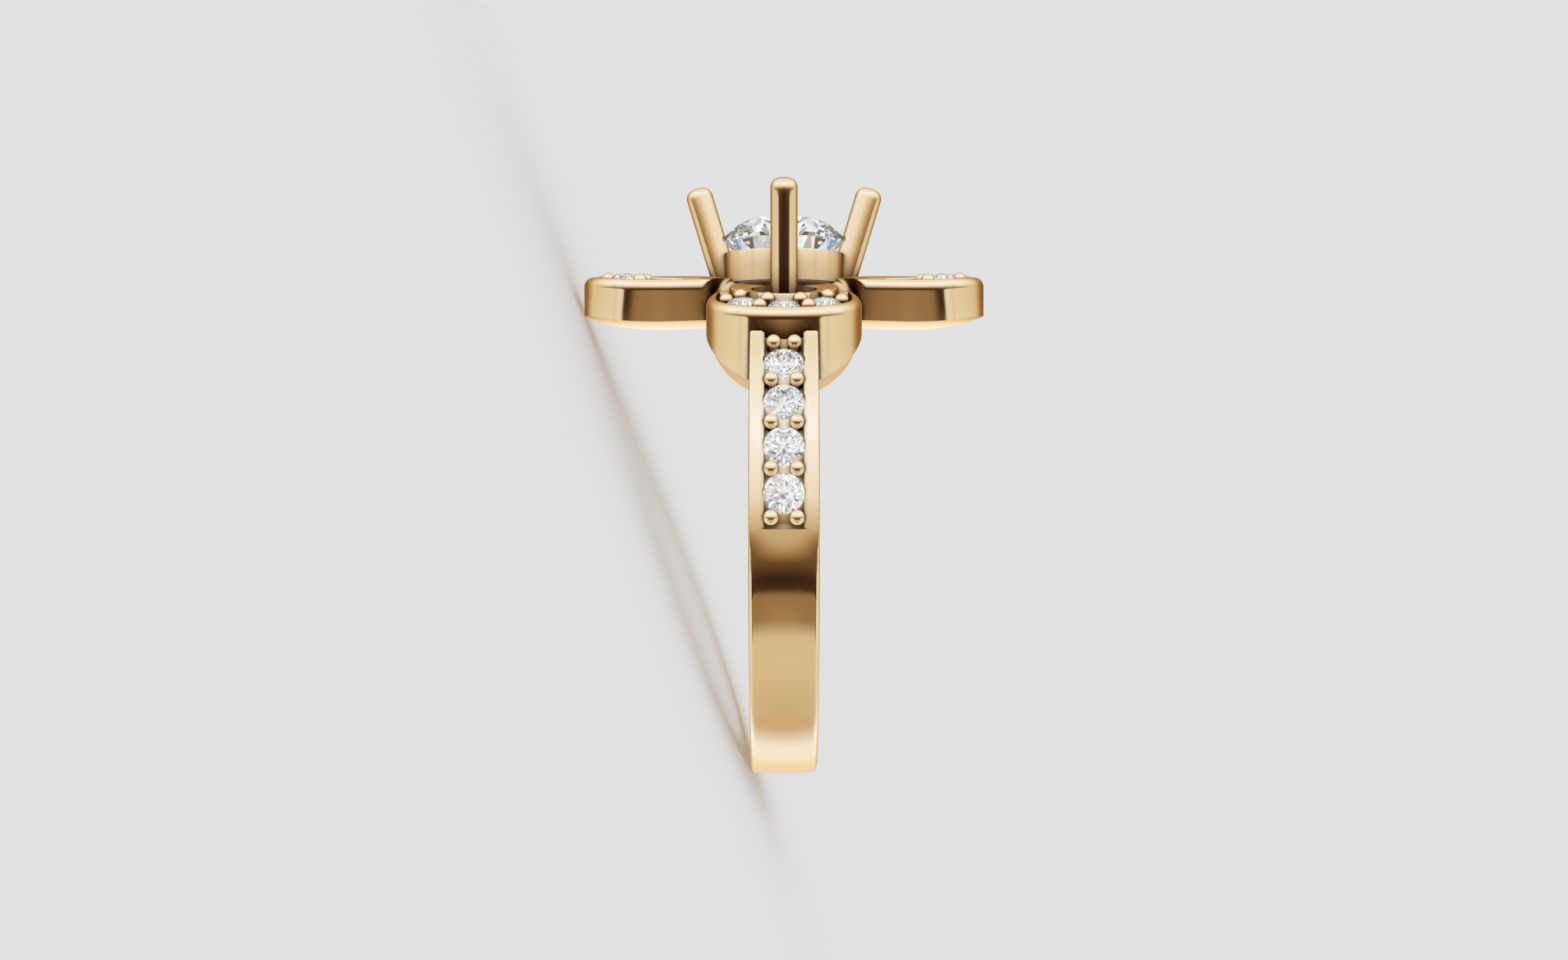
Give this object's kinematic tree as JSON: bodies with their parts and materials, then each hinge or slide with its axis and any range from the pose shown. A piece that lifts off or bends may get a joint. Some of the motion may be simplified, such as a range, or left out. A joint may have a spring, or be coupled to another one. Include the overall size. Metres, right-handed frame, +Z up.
{
  "type": "solitaire ring with a flower head",
  "caption": "Polished gold finger ring with one round stone on four long prongs above a flower of set petals, with channel set shoulders.",
  "frame": {"origin": "middle of the ring's box, on the surface on which it lies on its side", "axes": "+Z up from that surface; +X from the prong tips towards the bottom of the shank; +Y towards the back shoulder"},
  "size_m": [0.025, 0.0214, 0.0165],
  "materials": {
    "gold": "polished yellow gold",
    "stone": "clear, faceted"
  },
  "bodies": {
    "root": {"gold_mount": "gold", "centre_stone": "stone", "shoulder_stone_front_1": "stone", "shoulder_stone_front_2": "stone", "shoulder_stone_front_3": "stone", "shoulder_stone_front_4": "stone", "shoulder_stone_back_1": "stone", "shoulder_stone_back_2": "stone", "shoulder_stone_back_3": "stone", "shoulder_stone_back_4": "stone", "petal_stone_right_1": "stone", "petal_stone_right_2": "stone", "petal_stone_right_3": "stone", "petal_stone_left_1": "stone", "petal_stone_left_2": "stone", "petal_stone_left_3": "stone", "petal_stone_front_1": "stone", "petal_stone_front_2": "stone", "petal_stone_front_3": "stone", "petal_stone_back_1": "stone", "petal_stone_back_2": "stone", "petal_stone_back_3": "stone"}
  },
  "joints": []
}
